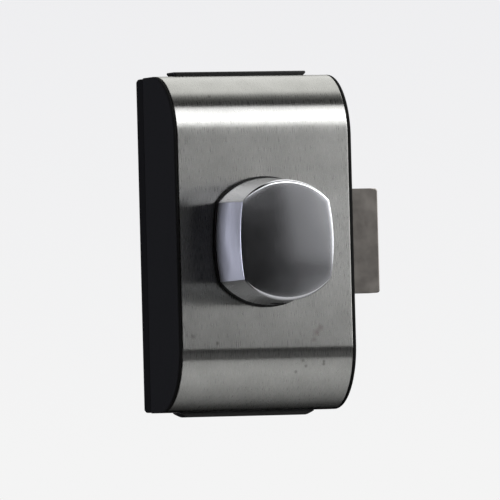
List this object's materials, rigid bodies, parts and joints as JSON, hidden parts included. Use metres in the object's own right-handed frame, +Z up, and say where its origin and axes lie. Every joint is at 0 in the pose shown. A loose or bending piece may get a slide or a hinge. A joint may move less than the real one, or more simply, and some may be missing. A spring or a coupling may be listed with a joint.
{
  "type": "glass door knob lock",
  "caption": "Knob side of a surface lock for a glass door: a brushed cover between black cheeks, with a chrome knob that slides a side deadbolt.",
  "frame": {"origin": "on the knob's axis, at the glass face of the rubber gasket", "axes": "+X points to the bolt, -Y to the user, +Z up"},
  "size_m": [0.071, 0.0566, 0.107],
  "materials": {
    "brushed_stainless": "satin",
    "black_moulded_plastic": "satin",
    "black_rubber": "matte",
    "chrome_plating": "polished",
    "satin_steel": "satin",
    "cast_zinc": "satin",
    "zinc_plated_steel": "satin",
    "blackened_steel": "satin",
    "white_nylon": "satin"
  },
  "bodies": {
    "lock_body": {"cover_shell": "brushed_stainless", "left_cheek": "black_moulded_plastic", "right_cheek": "black_moulded_plastic", "top_cap_strip": "black_moulded_plastic", "bottom_cap_strip": "black_moulded_plastic", "top_cover_screw": "zinc_plated_steel", "bottom_cover_screw": "zinc_plated_steel", "base_plate": "black_moulded_plastic", "glass_gasket": "black_rubber", "left_cheek_screw_top": "blackened_steel", "left_cheek_screw_bottom": "blackened_steel", "right_cheek_screw_top": "blackened_steel", "right_cheek_screw_bottom": "blackened_steel", "lock_case": "cast_zinc", "case_plate": "zinc_plated_steel", "case_screw_top_left": "zinc_plated_steel", "case_screw_top_right": "zinc_plated_steel", "case_screw_bottom_left": "zinc_plated_steel", "case_screw_bottom_right": "zinc_plated_steel", "bolt_spring": "zinc_plated_steel", "spring_screw": "zinc_plated_steel", "spindle_bush": "white_nylon"},
    "knob_body": {"knob": "chrome_plating", "knob_ring": "black_moulded_plastic", "knob_grub_screw": "blackened_steel", "spindle": "zinc_plated_steel", "spindle_circlip": "zinc_plated_steel"},
    "bolt_body": {"deadbolt": "satin_steel"}
  },
  "joints": [
    {"name": "knob_turn", "type": "hinge", "parent": "lock_body", "child": "knob_body", "pos_m": [0, 0, 0], "axis": [0, -1, 0], "range_deg": [0, 90]},
    {"name": "bolt_slide", "type": "slide", "parent": "lock_body", "child": "bolt_body", "axis": [-1, 0, 0], "range_m": [0, 0.01273]}
  ],
  "couplings": [
    {"joint": "bolt_slide", "follows": "knob_turn", "m_per_rad": 0.0081}
  ]
}
